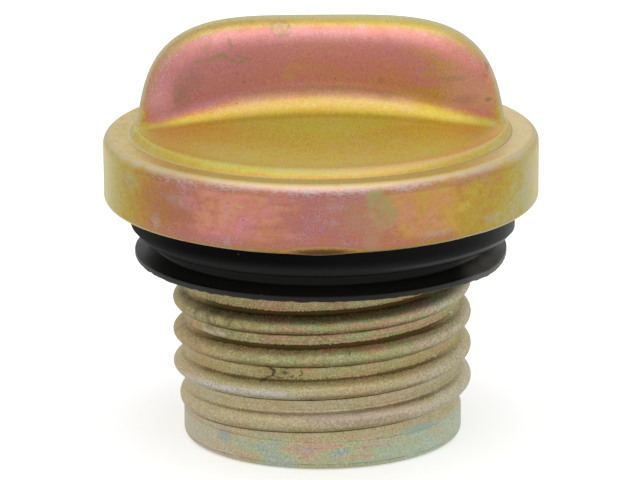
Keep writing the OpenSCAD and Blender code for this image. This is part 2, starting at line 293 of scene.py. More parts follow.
def seal_rows():
    """Closed ring of the two-lipped seal. Its profile goes round from the bore's mouth by
    both lips to the rim and back; the lips then move in, out and down with the angle, as
    the soft rubber of the real one does."""
    m = np.arange(SEAL_MERIDIANS) * TURN / SEAL_MERIDIANS
    low_top = SEAL_Z + LIP_EDGE
    groove_z = low_top + LIP_FALL
    lip_z = groove_z + GROOVE_H
    profile = join([
        line((BORE_R, SEAL_Z + 1.4), (18.2, SEAL_Z), 3),
        line((18.2, SEAL_Z), (LOW_LIP_R - 0.3, SEAL_Z), 8),
        arc(LOW_LIP_R - 0.3, SEAL_Z + 0.3, 0.3, -90, 0, 5)[1:],
        line((LOW_LIP_R, SEAL_Z + 0.3), (LOW_LIP_R, low_top - 0.12), 3),
        arc(LOW_LIP_R - 0.12, low_top - 0.12, 0.12, 0, 75, 3)[1:],
        line((LOW_LIP_R - 0.12, low_top + 0.02), (GROOVE_R + 0.25, groove_z - 0.04), 8),
        arc(GROOVE_R + 0.25, groove_z + 0.21, 0.25, -100, -180, 3)[1:],
        line((GROOVE_R, groove_z + 0.21), (GROOVE_R, lip_z - 0.2), 3),
        arc(GROOVE_R + 0.2, lip_z - 0.2, 0.2, 180, 110, 3)[1:],
        line((GROOVE_R + 0.15, lip_z), (UP_LIP_R - 0.9, lip_z + 0.36), 6),
        line((UP_LIP_R - 0.9, lip_z + 0.36), (UP_LIP_R - 0.12, lip_z + 1.25), 5),
        arc(UP_LIP_R - 0.3, lip_z + 1.45, 0.3, -30, 0, 3)[1:],
        line((UP_LIP_R, lip_z + 1.45), (UP_LIP_R, RIM_Z), 14),
        line((UP_LIP_R, RIM_Z), (RIM_R - 0.3, RIM_Z), 2),
        arc(RIM_R - 0.3, RIM_Z + 0.3, 0.3, -90, 0, 3)[1:],
        line((RIM_R, RIM_Z + 0.3), (RIM_R, FLANGE_Z), 2),
        line((RIM_R, FLANGE_Z), (BORE_R + 1.2, FLANGE_Z), 2),
        line((BORE_R + 1.2, FLANGE_Z), (BORE_R, FLANGE_Z - 1.2), 2),
        line((BORE_R, FLANGE_Z - 1.2), (BORE_R, SEAL_Z + 1.4), 3),
    ])
    rows = turned(profile, m)
    r, z = profile[:, 0:1], profile[:, 1:2]
    low = smooth(r, GROOVE_R + 0.2, LOW_LIP_R - 0.4) * (z < lip_z - 0.4)
    up = smooth(r, GROOVE_R + 0.4, UP_LIP_R - 1.0) * (z > lip_z - 0.3) * (z < RIM_Z - 0.5)
    up = up * (1 - 0.7 * smooth(z, lip_z + 2, RIM_Z))
    up_in = -0.17 + 0.17 * np.cos(m) + 0.05 * waves(m, 11, 3, 9)
    low_in = -0.22 * bell(m, 0, 34) + 0.04 * waves(m, 12, 2, 8)
    droop = -LOW_DROOP * bell(m, -24, 16) + 0.05 * waves(m, 13, 3, 10)
    hang = -UP_HANG * bell(m, 2, 26)
    edge = (z < SEAL_Z + 0.5) * smooth(r, 20.8, 22.2)
    ripple = LIP_RIPPLE * waves(m, 14, 22, 110, 0.2) * edge
    grow = 1 + (up * up_in + low * low_in) / r
    rows[..., :2] *= grow[..., None]
    rows[..., 2] += low * np.minimum(droop, 0.03) + up * hang + ripple
    flash = np.exp(-((z - lip_z - 0.95) / 0.16) ** 2) * (r > UP_LIP_R - 1) + 0 * m
    return rows, {"flash": flash}


def thread_rise(turns):
    """Part of the thread's full depth after a number of turns: it rises in a straight line
    over RUNOUT_TURNS and fades over the last FADE_TURNS."""
    start = (turns - RUNOUT_FROM) / RUNOUT_TURNS
    return np.clip(np.minimum(start, (THREAD_END - turns) / FADE_TURNS), 0, 1)


def sleeve_rows():
    """Closed cup of the sleeve. Its outside is a height field: at angle m and height z the
    nearest crest is the k-th turn, s is the place across it, and the wall stands out by
    depth * rise * (1 - |s|^2.1)^0.87. Flange and inside are plain turned rows."""
    m = np.arange(SLEEVE_MERIDIANS) * TURN / SLEEVE_MERIDIANS
    z = join([np.linspace(NOSE_R, LEAD_H - 0.28, 12),
              np.linspace(LEAD_H - 0.2, LEAD_H + 0.1, 6),
              np.linspace(LEAD_H + 0.22, 23.6, 138),
              np.linspace(24.6, FLANGE_Z - FLANGE_BEND, 4)])[:, None] + 0 * m
    lap = (z - THREAD_Z0) / PITCH - m / TURN
    k = np.round(lap)
    turns = k + m / TURN
    s = (z - THREAD_Z0 - PITCH * turns) / (CREST_W / 2)
    rise = thread_rise(turns)
    body = LEAD_R + (ROOT_R - LEAD_R) * smooth(z, LEAD_H - 0.2, LEAD_H)
    crest = rise * np.maximum(0, 1 - np.abs(s) ** CREST_POWER) ** CREST_EASE
    foot = rise * np.exp(-((np.abs(s) - 1.02) / 0.16) ** 2)
    r = np.maximum(body, ROOT_R + (CREST_R - ROOT_R) * crest) - 0.05 * foot
    r = r + 0.02 * waves(m[None, :] + 0 * z, 21, 2, 7) * smooth(z, 1, 3) * (1 - crest)
    wall = np.stack([r * np.cos(m), r * np.sin(m), z], axis=-1)
    nose = join([[[0.0, 0.0]], line((0, 0), (LEAD_R - NOSE_R, 0), 5),
                 arc(LEAD_R - NOSE_R, NOSE_R, NOSE_R, -90, 0, 8)[1:-1]])
    in_r = ROOT_R - SLEEVE_T
    back = join([
        arc(ROOT_R + FLANGE_BEND, FLANGE_Z - FLANGE_BEND, FLANGE_BEND, 180, 90, 4)[1:],
        arc(FLANGE_R - 0.25, FLANGE_Z + 0.25, 0.25, -90, 0, 2),
        arc(FLANGE_R - 0.25, SLEEVE_TOP - 0.25, 0.25, 0, 90, 2),
        arc(in_r + 2.2, FLANGE_Z - FLANGE_BEND, 2.2, 90, 180, 5),
        arc(in_r - 0.45, SLEEVE_T + 0.45, 0.45, 0, -90, 3),
        [[0.0, SLEEVE_T]],
    ])
    nose, back = turned(nose, m), turned(back, m)
    rows = join([nose, wall, back])

    def whole(field, fill=0.0):
        return join([np.full(nose.shape[:2], fill), field, np.full(back.shape[:2], fill)])

    return rows, {"crest": whole(crest), "depth": whole(rise), "place": whole(s)}


def show(name, data):
    """A new object with that data, in the scene."""
    made = bpy.data.objects.new(name, data)
    bpy.context.scene.collection.objects.link(made)
    return made


def surface(name, rows, attributes, material, first="ring", last="ring", loop=False):
    """One closed mesh from rows of points, each row a ring. A "ridge" row is folded flat on
    itself, so that its point i meets point n - i, and a "pole" row is one point. With loop,
    the last row joins the first. Faces are turned so that the volume is positive."""
    levels, n = rows.shape[:2]
    ident = np.arange(levels * n).reshape(levels, n)
    i = np.arange(n)
    for row, kind in ((0, first), (levels - 1, last)):
        if kind == "ridge":
            ident[row] = ident[row, np.minimum(i, (n - i) % n)]
        if kind == "pole":
            ident[row] = ident[row, 0]
    if loop:
        ident = join([ident, ident[:1]])
    a, b = ident[:-1], ident[1:]
    quads = np.stack([a, np.roll(a, -1, 1), np.roll(b, -1, 1), b], axis=-1).reshape(-1, 4)
    points = rows.reshape(-1, 3)
    p = [points[quads[:, j]] for j in range(4)]
    volume = (np.cross(p[0], p[1]) * p[2]).sum() + (np.cross(p[0], p[2]) * p[3]).sum()
    if volume < 0:
        quads = quads[:, ::-1]
    same = quads == np.roll(quads, -1, 1)
    whole = quads[~same.any(1)]
    bent = quads[same.sum(1) == 1]
    keep = ~(bent == np.roll(bent, -1, 1))
    thirds = bent[keep].reshape(-1, 3)
    used, place = np.unique(join([whole.ravel(), thirds.ravel()]), return_inverse=True)
    whole = place[:whole.size].reshape(-1, 4)
    thirds = place[whole.size:].reshape(-1, 3)
    mesh = bpy.data.meshes.new(name)
    mesh.from_pydata(points[used] * MM, [], whole.tolist() + thirds.tolist())
    mesh.polygons.foreach_set("use_smooth", np.ones(len(mesh.polygons), bool))
    mesh.materials.append(material)
    mesh.update()
    normals = np.empty(3 * len(used), np.float32)
    mesh.vertex_normals.foreach_get("vector", normals)
    stored = {key: field.ravel()[used] for key, field in attributes.items()}
    stored.update(facing=np.abs(normals[1::3]), upward=normals[2::3])
    for key, field in stored.items():
        layer = mesh.attributes.new(key, "FLOAT", "POINT")
        layer.data.foreach_set("value", np.ascontiguousarray(field, np.float32))
    return show(name, mesh)


def tint(r, g, b):
    """Display colour 0..255 as linear light."""
    c = np.array([r, g, b]) / 255
    lin = np.where(c <= 0.04045, c / 12.92, ((c + 0.055) / 1.055) ** 2.4)
    return (*[float(v) for v in lin], 1.0)


def maths(operation, flipped=False):
    """Method that applies an operation to a number and another, or the other way round."""
    def apply(self, other=0.0):
        a, b = (other, self) if flipped else (self, other)
        return self.graph.number("ShaderNodeMath", {"operation": operation}, {0: a, 1: b})
    return apply


class Value:
    """A number among the nodes, so that shader maths reads as an expression."""

    def __init__(self, graph, socket):
        self.graph, self.socket = graph, socket

    __add__, __radd__ = maths("ADD"), maths("ADD", True)
    __sub__, __rsub__ = maths("SUBTRACT"), maths("SUBTRACT", True)
    __mul__, __rmul__ = maths("MULTIPLY"), maths("MULTIPLY", True)
    __truediv__, __rtruediv__ = maths("DIVIDE"), maths("DIVIDE", True)
    __pow__, __abs__ = maths("POWER"), maths("ABSOLUTE")
    least, most = maths("MINIMUM"), maths("MAXIMUM")


def strongest(parts):
    """The largest of several numbers."""
    return functools.reduce(Value.most, parts)


class Graph:
    """The nodes of a material or of the world, and the shader that ends them."""

    def __init__(self, tree, shader):
        self.tree, self.shader = tree, tree.nodes[shader]

    def put(self, socket, value):
        """Links a socket to what value holds, or sets it where value is plain."""
        value = value.socket if isinstance(value, Value) else value
        if isinstance(value, bpy.types.NodeSocket):
            self.tree.links.new(value, socket)
        else:
            socket.default_value = value

    def set(self, **sockets):
        """Sets or links the shader's sockets."""
        for key, value in sockets.items():
            self.put(self.shader.inputs[key.replace("_", " ")], value)

    def node(self, kind, settings=None, links=None):
        """Any node: its type, its settings (set first), and its sockets' values or links."""
        made = self.tree.nodes.new(kind)
        for key, value in (settings or {}).items():
            setattr(made, key, value)
        for key, value in (links or {}).items():
            self.put(made.inputs[key], value)
        return made

    def number(self, kind, settings=None, links=None, out=0):
        """A node of any kind as a number."""
        return Value(self, self.node(kind, settings, links).outputs[out])

    def between(self, value, lo, hi, low=0.0, high=1.0):
        """Goes smoothly from low to high as value goes from lo to hi."""
        return self.number("ShaderNodeMapRange", {"interpolation_type": "SMOOTHSTEP"},
                           {0: value, 1: lo, 2: hi, 3: low, 4: high})

    def hump(self, value, a, b, c, d):
        """Rises smoothly from 0 to 1 as value goes from a to b, and falls from c to d."""
        return self.between(value, a, b) * self.between(value, d, c)


class Paint(Graph):
    """A material under construction."""

    def __init__(self, name):
        self.material = bpy.data.materials.new(name)
        self.material.use_nodes = True
        super().__init__(self.material.node_tree, "Principled BSDF")
        place = self.node("ShaderNodeTexCoord").outputs["Object"]
        self.at = self.node("ShaderNodeVectorMath", {"operation": "SCALE"},
                            {0: place, "Scale": 1 / MM}).outputs[0]
        split = self.node("ShaderNodeSeparateXYZ", {}, {0: self.at})
        self.x, self.y, self.z = (Value(self, split.outputs[j]) for j in range(3))

    def field(self, name):
        """A number stored on the piece's own points."""
        return self.number("ShaderNodeAttribute", {"attribute_name": name}, {}, "Fac")

    def noise(self, seed, scale, roughness, detail=3, stretch=(1, 1, 1)):
        """Noise round 0.5, moved along by seed, with scale in waves for each millimetre."""
        at = self.node("ShaderNodeMapping", {}, {
            0: self.at, "Scale": stretch, "Location": (seed, seed * 0.7, -seed)}).outputs[0]
        return self.number("ShaderNodeTexNoise", {}, {
            "Vector": at, "Scale": scale, "Detail": detail, "Roughness": roughness}, "Fac")

    def cells(self, seed, scale):
        """Distance to the nearest of many scattered points, scale of them a millimetre."""
        at = self.node("ShaderNodeMapping", {}, {
            0: self.at, "Location": (seed, seed, seed)}).outputs[0]
        links = {"Vector": at, "Scale": scale}
        return self.number("ShaderNodeTexVoronoi", {}, links, "Distance")

    def spot(self, centre, size, soft=0.3, ragged=0.0):
        """1 inside an ellipsoid with that centre and those half sizes, 0 outside; ragged is
        added to the distance from its centre, in parts of its size."""
        gap = self.node("ShaderNodeVectorMath", {"operation": "SUBTRACT"},
                        {0: self.at, 1: centre}).outputs[0]
        part = self.node("ShaderNodeVectorMath", {"operation": "DIVIDE"},
                         {0: gap, 1: size}).outputs[0]
        far = self.number("ShaderNodeVectorMath", {"operation": "LENGTH"}, {0: part}, "Value")
        return self.between(far + ragged, 1 + soft, 1 - soft)

    def spots(self, rag, rows):
        """The strongest of several spots. Each row gives centre, half sizes, softness, how
        much of rag is added to the distance, and weight."""
        return strongest(self.spot(centre, size, soft, rag * torn) * weight
                         for centre, size, soft, torn, weight in rows)

    def strokes(self, rows):
        """The strongest of several strokes. Each row gives path, width and weight."""
        return strongest(self.stroke(path, width) * weight for path, width, weight in rows)

    def stroke(self, points, width):
        """Line of a pen on the side that faces the front: 1 nearer than width to the path
        through points (x, z), which a little noise bends, and fading outside it."""
        bend = self.noise(66, 1.3, 0.5, 2)
        x, z = self.x + (bend - 0.5) * 0.5, self.z + (0.5 - bend) * 0.4
        far = None
        for (x0, z0), (x1, z1) in zip(points, points[1:]):
            run, rise = x1 - x0, z1 - z0
            part = ((x - x0) * run + (z - z0) * rise) / (run * run + rise * rise)
            part = part.most(0.0).least(1.0)
            off_x, off_z = x - x0 - part * run, z - z0 - part * rise
            gap = (off_x * off_x + off_z * off_z) ** 0.5
            far = gap if far is None else far.least(gap)
        return self.between(far, width, width * 0.4) * self.between(self.y, 0.0, -1.0)

    def squiggle(self, value, width):
        """Thin lines where value passes 0.5, as wide as width in the value's measure."""
        return self.between(abs(value - 0.5), width, width * 0.4)

    def mix(self, part, a, b):
        """Colour a with colour b laid over it by part; each is a mix or a display colour."""
        a, b = (tint(*c) if isinstance(c, tuple) else c for c in (a, b))
        links = {0: part, 6: a, 7: b}
        return self.node("ShaderNodeMix", {"data_type": "RGBA"}, links).outputs[2]

    def lay(self, part, over):
        """Lays a display colour, or another mix, over the colour so far, by part."""
        self.colour = self.mix(part, self.colour, over)

    def scale_of(self, value, stops):
        """Colour from a row of stops: place and display colour."""
        ramp = self.node("ShaderNodeValToRGB", {}, {0: value})
        row = ramp.color_ramp.elements
        while len(row) < len(stops):
            row.new(0.5)
        for element, (place, *colour) in zip(row, stops):
            element.position, element.color = place, tint(*colour)
        return ramp.outputs[0]

    def bump(self, height, distance, strength=1.0, below=None):
        """Normal bent by a height in parts of distance, in millimetres."""
        links = {"Strength": strength, "Distance": distance * MM, "Height": height}
        if below is not None:
            links["Normal"] = below
        return self.node("ShaderNodeBump", {}, links).outputs[0]


# Colours of the chromate film as it grows thicker, from pale yellow-green to violet-pink
FILM = [(0, 210, 206, 160), (0.14, 212, 200, 122), (0.28, 212, 188, 74), (0.42, 214, 172, 76),
        (0.56, 214, 152, 90), (0.7, 214, 140, 106), (0.84, 212, 138, 124), (1, 208, 134, 138)]


def cover_paint():
    """Yellow iridescent plating. The film's thickness is a number painted over the cover by
    the way the sheet faces, warmer towards the left, and picks the colour; wear, stains and
    scratches lie on top, with painted highlights, reflections and shade."""
    p = Paint("cover_plating")
    between, hump, lay = p.between, p.hump, p.lay
    x, y, z = p.x, p.y, p.z
    facing, upward = p.field("facing"), p.field("upward")
    hollow, crimp = p.field("hollow"), p.field("crimp")
    big = p.noise(2, 0.085, 0.55)
    mid = p.noise(31, 0.3, 0.6, 4)
    patch = p.noise(52, 0.55, 0.65, 4)
    fine = p.noise(7, 2.2, 0.6)
    grain = p.noise(3, 5.5, 0.7, 2)
    sandy = p.noise(58, 2.6, 0.8, stretch=(1.6, 0.5, 1))
    mottle = p.noise(36, 1.3, 0.7, stretch=(0.7, 0.7, 1.3))
    dust = between(p.noise(95, 5, 0.8), 0.52, 0.62)
    along = p.noise(17, 0.45, 0.6, stretch=(0.35, 1.6, 2.4))
    r = (x * x + y * y) ** 0.5
    side = abs(x)

    on_skirt = between(z, 37.2, 36.2)
    on_grip = between(z, 40, 42)
    wing = on_grip * (1 - hollow)
    on_ring = between(z, 37.35, 37.45) * between(r, 22.7, 23)
    level = between(upward, 0.8, 0.95)
    on_floor = level * between(r, 22.9, 22.5) * between(z, 41.5, 40.5)

    # Film: by the way the sheet faces, then grip, skirt, fillet and floor in turn
    cloud = p.noise(23, 0.2, 0.55, stretch=(0.6, 1, 1.5))
    rounding = 1 - facing * facing - upward * upward
    toward = facing + on_grip * rounding * between(x, -10, 10, 0.22, 0.45)
    film = between(toward, 0.28, 0.99, 0.23, 0.9)
    film -= (1 - toward) * between(upward, 0.7, 0.2) * 0.22
    film -= on_grip * (x * 0.011 - between(z, 42, 48, -0.05, 0.05))
    film -= on_skirt * between(x, 3, 15) * between(x, 17, 24, 0.29, -0.02)
    sink = between(upward - between(x, -8, -20, 0, 0.26) + (cloud - 0.5) * 0.5, 0.04, 0.72)
    film += hollow * sink * (0.27 - film)
    tips = between(side, 12, 19) * between(r, 22.4, 20.8)
    floor_film = between(r, 9, 12, 0.22, 0.3) - between(r, 16, 21) * 0.09 + tips * 0.2
    film += on_floor * (floor_film + (big - 0.5) * 0.22 - film)
    for noise, steep, flat in ((big, 0.6, 0), (mid, 0.34, 0.2), (along, 0.22, 0.34),
                               (mottle, 0.5, 0.3), (grain, 0.3, 0.2)):
        film += (noise - 0.5) * between(upward, 0.5, 0.9, steep, flat)
    film += (patch - 0.5) * 0.36 * on_skirt
    film += (fine - 0.5) * 0.3 + (sandy - 0.5) * level * 0.36
    p.colour = p.scale_of(film, FILM)
    # Olive clouds on the grip's face, and greener floors with a fine grain
    olive = between(cloud + (along - 0.5) * 0.7 + (mottle - 0.5) * 0.3, 0.42, 0.62)
    olive = on_grip * olive * between(x, -8, 9, 0.12, 0.9)
    olive *= between(upward, 0.4, 0.2) * between(x, 18, 14)
    lay(olive, (204, 158, 66))
    green = on_floor * (between(r, 16, 9, 0.34, 0.66) + (sandy - 0.5) * 1.5
                        + (cloud - 0.5) * 0.5 + (fine - 0.5) * 0.6)
    green += on_floor * between(r, 12.5, 7.5) * between(x, -6, 6, 0.4, 0.9)
    lay(green * (1 - tips * 0.8), (198, 216, 84))
    foot = between(hollow, 0.2, 0.7) * between(upward, 0.86, 0.95) * between(side, 18.5, 15)
    lay(foot * between(fine, 0.3, 0.6, 0.34, 0.58), (176, 180, 44))
    lit = on_grip * between(upward, 0.5, 0.2) * hump(x, -14, -2, 2, 14)
    lay(lit * 0.44, (234, 144, 148))
    # Painted highlights on the grip's rounded ends: pale pink at the left, lighter pink at the
    # right
    left_end_highlight = on_grip * between(upward, 0.3, 0.1) * between(x, -16, -19.5)
    lay(left_end_highlight * 0.6, (240, 170, 168))
    right_end_highlight = on_grip * between(upward, 0.3, 0.1) * between(x, 13, 17)
    lay(right_end_highlight * 0.5, (224, 164, 146))
    # Painted shade: darker in the middle of the fillet, and on the upper left of the grip
    fillet_shade = hollow * hump(upward, 0, 0.25, 0.42, 0.62)
    lay(fillet_shade * between(side, 12, 7) * 0.75, (178, 124, 88))
    grip_left_shade = on_grip * between(upward, 0.2, 0.4) * between(x, -3, -14)
    lay(grip_left_shade * 0.4, (176, 138, 92))

    # Thin places: the grip's bead, its crown, the middle of the margin and the ring's sides;
    # on the bead the lighter film is partly worn thin and partly a painted highlight
    glance = facing * 0.964 + upward * 0.266
    low = between(side, 4, 16, 0, 0.22)
    bead = wing * between(upward - low, 0.06, 0.46) * between(y, 0.5, -0.5)
    crown = p.spot((1.5, 0, 51.6), (9, 4, 1.1), 0.6) * between(upward, 0.9, 0.97)
    margin = on_floor * between(r, 20.2, 21.4) * between(x, -9, 4)
    thin = bead * between(upward, 0.92, 0.78) * between(patch, 0.25, 0.75, 0.24, 0.6)
    thin *= between(x, -13, -4, 0.55, 0.9)
    thin = thin.most(crown * 0.5).most(margin * 0.42)
    lay(thin, p.mix(between(upward, 0.9, 0.97), (242, 190, 176), (226, 190, 150)))
    # Painted highlight: pink along the rounding of the grip's bead
    pink = wing * hump(upward, 0.12, 0.34, 0.6, 0.8)
    lay(pink * between(patch, 0.3, 0.6, 0.25, 0.5), (250, 164, 166))
    gold = hollow * between(upward, 0.5, 0.8) * between(cloud, 0.6, 0.4, 0.2, 0.5)
    lay(gold, (210, 194, 84))
    # Painted highlight: a pale peach veil on the fillet
    fillet_highlight = hollow * hump(upward, 0.1, 0.45, 0.6, 0.9)
    fillet_highlight *= between(mid + between(x * x, 200, 30) * 0.2, 0.45, 0.75, 0, 0.3)
    lay(fillet_highlight, (238, 188, 166))
    band = wing * between(glance, 0.9, 0.78) * between(mottle, 0.3, 0.6)
    lay(band * between(z, 45, 49) * 0.75, (220, 200, 100))
    # Paler on the grip's rim at grazing angles: partly the film's own yellow-green, partly a
    # painted reflection of the bright surroundings
    rim = wing * between(glance + (fine - 0.5) * 0.2, 0.62, 0.36)
    tan = wing * between(glance, 0.86, 0.62) * between(x, 2, -12)
    lay(tan * 0.5, (196, 164, 100))
    lay(rim * 0.85, p.mix(between(side, 14, 20), (216, 214, 160), (218, 208, 170)))
    lay(on_ring * between(side, 15, 24) * between(patch, 0.35, 0.6, 0.3, 0.7), (238, 216, 172))
    lay(on_ring * between(side, 18, 8) * 0.45, (204, 200, 124))
    gritty = grain + (sandy - 0.5) * level
    lay(between(gritty, 0.52, 0.3) * 0.2, (140, 100, 58))
    lay(between(gritty, 0.5, 0.72) * 0.2, (250, 220, 170))
    bright = on_floor * between(r, 14, 19)
    lay(bright * 0.22, (240, 220, 130))
    lay(on_ring * between(x, 14, 23) * 0.35, (254, 236, 196))
    lay(margin * between(x, 0, 8) * 0.35, (244, 184, 120))

    # Skirt: cream bend, partly worn plating and partly a painted highlight; painted sheen
    # either side of the middle; painted shade under the bend; ochre hem with a pale edge; pale
    # sides that are a painted reflection at grazing angles
    bend = hump(z, 36.88, 37.2, 37.44, 37.5)
    lay(bend * 0.5, (234, 208, 164))
    # Painted sheen on the skirt either side of the middle, pink on the left, yellow on the
    # right
    skirt_sheen = on_skirt * between(z, 30.2, 31.2) * between(mottle, 0.3, 0.6, 0.5, 1)
    astray = x + (cloud - 0.5) * 14 + (patch - 0.5) * 9 + (along - 0.5) * 12
    left = skirt_sheen * hump(astray, -18, -13, -7.5, -1.5)
    lay(left * between(patch, 0.3, 0.6, 0.45, 0.72),
        p.mix(between(mid, 0.4, 0.58), (252, 180, 142), (250, 162, 164)))
    right = skirt_sheen * hump(astray, 6, 10, 12.5, 18)
    lay(right * 0.6, p.mix(between(mid, 0.4, 0.58), (238, 200, 100), (246, 184, 120)))
    # Painted shade just under the bend, where the lamp's highlight is toned down
    under = hump(z, 35.9, 36.3, 36.6, 36.95) * between(facing, 0.3, 0.8)
    lay(under * 0.35, (176, 110, 98))
    tan = p.spot((-18, -18, 33.5), (4, 9, 3.2), 0.8)
    lay(tan * 0.35, (166, 110, 70))
    hem = between(z + (fine - 0.5) * 0.3, 30.1, 29.75)
    lay(hem * between(side, 22, 6, 0.25, 0.7), (194, 152, 88))
    lay(between(z, 29.5, 29.36) * between(side, 5, 13) * 0.75, (236, 222, 192))
    # Painted reflection: pale cream on the skirt's sides at grazing angles
    ends = on_skirt * between(glance, 0.44, 0.12) * between(patch, 0.3, 0.55, 0.5, 0.85)
    lay(ends, (250, 238, 182))

    # Plating rubbed off the shoulder of the skirt, in specks and short streaks
    streaks = p.noise(61, 4.2, 0.8, 4, stretch=(0.5, 0.5, 1.5))
    band = hump(z, 35.2, 36.9, 37, 37.42) * between(facing, 0.25, 0.8)
    band *= between(x, 18, 9, 0.6, 1)
    rubbed = between(streaks + band * 0.13 + (mid - 0.5) * 0.5, 0.58, 0.7) * band
    shoulder = hump(upward, 0.25, 0.6, 0.8, 0.98)
    shoulder *= hump(z, 36.4, 36.7, 37.5, 37.6)
    shoulder *= between(patch + fine * 0.3, 0.45, 0.75)
    # Silvery flecks on the grip's bead, bare specks elsewhere, and fine scratches
    flecks = between(p.noise(90, 3.6, 0.8), 0.54, 0.62)
    where = between(patch, 0.5, 0.6).most(p.spots(0, [
        ((0.6, -3, 50), (2.2, 3, 0.6), 0.6, 0, 1),
        ((-17, -2.5, 46.5), (4, 3, 4), 0.6, 0, 0.8),
        ((13.5, -2.5, 49.6), (2.5, 3, 0.7), 0.6, 0, 1)]))
    on_bead = bead * hump(upward, 0.12, 0.25, 0.8, 0.92)
    specks = dust * between(mid, 0.5, 0.64) * (1 - on_grip * 0.8)
    specks = specks.most(dust * on_skirt * between(x, -10, -20) * between(mid, 0.44, 0.58))
    scratch = p.squiggle(p.noise(77, 0.7, 0.5, 1, stretch=(1, 1, 2.2)), 0.006)
    scratch *= between(p.noise(12, 0.25, 0.5, 2), 0.58, 0.66)
    scratch *= 1 - level * 0.7
    bare = (rubbed * 0.85).most(specks * 0.5).most(flecks * where * on_bead * 0.8)
    bare = bare.most(scratch * 0.3).most(shoulder * 0.5)
    rolled = wing * hump(glance, 0.6, 0.7, 0.87, 0.93)
    bare = bare.most(flecks * rolled * between(x, -9, -13) * between(z, 41, 43) * 0.8)
    silver = p.mix(fine, (196, 190, 186), (232, 226, 222))
    lay(bare * 0.85, silver)

    # Green-grey stain on the skirt, right of the middle, and small marks round it
    rag = (p.noise(41, 1.1, 0.65, 4) - 0.5) * 2
    edge = (p.noise(44, 0.55, 0.5, 2) - 0.5) * 1.4
    edge += rag * 0.25
    stain = p.spots(edge, [((6.6, -25.2, 35.1), (1.5, 3, 1.6), 0.15, 1, 1),
                           ((7.2, -25, 33.5), (1.5, 3, 1.7), 0.15, 1, 1)])
    stain = stain.most(p.spots(rag, [((5.9, -25.4, 30.9), (1.1, 3, 2), 0.6, 1, 0.6),
                                     ((4.3, -25.8, 33.4), (1.9, 3, 1.9), 0.7, 1, 0.38)]))
    stain *= between(patch + (fine + mottle - 1) * 0.6, 0.3, 0.56, 0.34, 0.9)
    lay(stain, p.mix(between(z + (mid - 0.5) * 6, 31.5, 35), (206, 170, 128), (190, 180, 120)))
    dot = p.spot((-9.51, -24.4, 34.62), (0.42, 1, 0.16), 0.4, rag * 0.4)
    lay(dot * 0.8, (206, 204, 120))
    grey = p.spots(rag, [
        ((-19.4, -17.6, 31.2), (0.5, 1, 0.9), 0.5, 1, 1),
        ((13.4, -22.5, 30.8), (1.5, 2, 0.4), 0.7, 1, 1),
        ((19.9, -16.9, 31), (0.9, 2, 0.55), 0.7, 1, 1),
        ((-11, -23.7, 30.25), (0.5, 1.5, 0.35), 0.6, 1, 1),
        ((19.6, -17.3, 37.2), (1.2, 2, 0.25), 0.6, 1, 1),
        ((-17, -20, 34.3), (1.3, 2, 0.8), 0.8, 1, 0.7),
        ((-22.6, -13, 35), (1.3, 2, 0.9), 0.8, 1, 0.6),
        ((-11, -23.7, 34.1), (0.45, 1.5, 1), 0.7, 1, 0.5),
        ((1.5, -26.1, 34.9), (1.2, 1, 0.5), 0.8, 1, 0.7),
        ((1.3, -26.1, 33.1), (0.5, 1, 0.4), 0.8, 1, 0.7)])
    lay(grey * (0.26 + dust * 0.55), (202, 198, 190))

    # Marks on the grip's face
    beige = p.spot((-4.7, -2.7, 50.6), (1, 1.6, 0.72), 0.3, rag * 0.5)
    edge = p.spot((-4.7, -2.7, 50.6), (1.25, 1.9, 0.95), 0.3, rag * 0.5)
    lay(edge * 0.5 * between(fine, 0.35, 0.5), (150, 142, 108))
    lay(beige * 0.55, (212, 178, 140))
    lines = p.strokes([
        ([(-14.8, 46.8), (-13.4, 47), (-11.9, 47.8), (-11, 47.3), (-9.8, 46.6),
          (-9, 47)], 0.25, 1),
        ([(-10.2, 47.7), (-9.3, 47.4), (-8.3, 47.05)], 0.2, 1),
        ([(-10.9, 49.5), (-10.5, 48.4)], 0.34, 0.6),
        ([(-13.1, 49), (-13.8, 48.2)], 0.4, 0.4)])
    lay(lines * between(fine + grain, 0.85, 1.1, 0.15, 0.85), (160, 152, 96))
    smudge = p.spots(rag, [
        ((-16.7, -3, 42.9), (0.9, 3, 1.7), 0.9, 1, 0.75),
        ((-15.3, -3, 44.5), (1.1, 3, 1.3), 0.9, 1, 0.5),
        ((-17.1, -3, 42.3), (0.5, 3, 0.6), 0.8, 0.7, 1),
        ((17.3, -3, 42.1), (1.3, 3, 0.5), 0.8, 1, 0.6),
        ((20, -2, 41.8), (0.45, 3, 0.25), 0.6, 0.5, 1),
        ((7.2, -3, 44.4), (0.4, 3, 0.35), 0.8, 1, 0.6),
        ((15.5, -3, 44.6), (1.6, 3, 0.35), 0.8, 1, 0.5)])
    lay(smudge * 0.6, (146, 126, 82))
    gold = p.spots(rag, [((-3.8, -3, 44.9), (0.7, 3, 0.6), 0.8, 1, 1),
                         ((-3, -3, 46.1), (1.4, 3, 0.4), 0.8, 1, 0.8)])
    lay(gold * 0.45, (220, 172, 84))
    rims = p.spot((19.7, -2, 45.8), (0.5, 3, 1.4), 0.6, rag) * between(mid, 0.45, 0.55)
    lay(rims * 0.35, (120, 84, 60))
    tip = p.spot((-22.5, -2.4, 37.9), (0.9, 1.2, 1), 0.5, rag) * between(fine, 0.46, 0.58)
    lay(tip * 0.5, (222, 216, 206))

    # Painted shade in the crimps, whose pressed faces look down at the dark seal, speckled at
    # their upper edge, with painted highlights on the rounded rim above them and on their
    # lower edge; darker along the crease round the panel; black pin points
    spots = between(grain, 0.45, 0.58)
    lay(hump(crimp, 0.02, 0.08, 0.12, 0.2) * spots * 0.5, (104, 70, 44))
    # Painted highlight on the rounded rim above each crimp
    lay(between(crimp, 0.03, 0.12) * 0.6, (222, 172, 96))
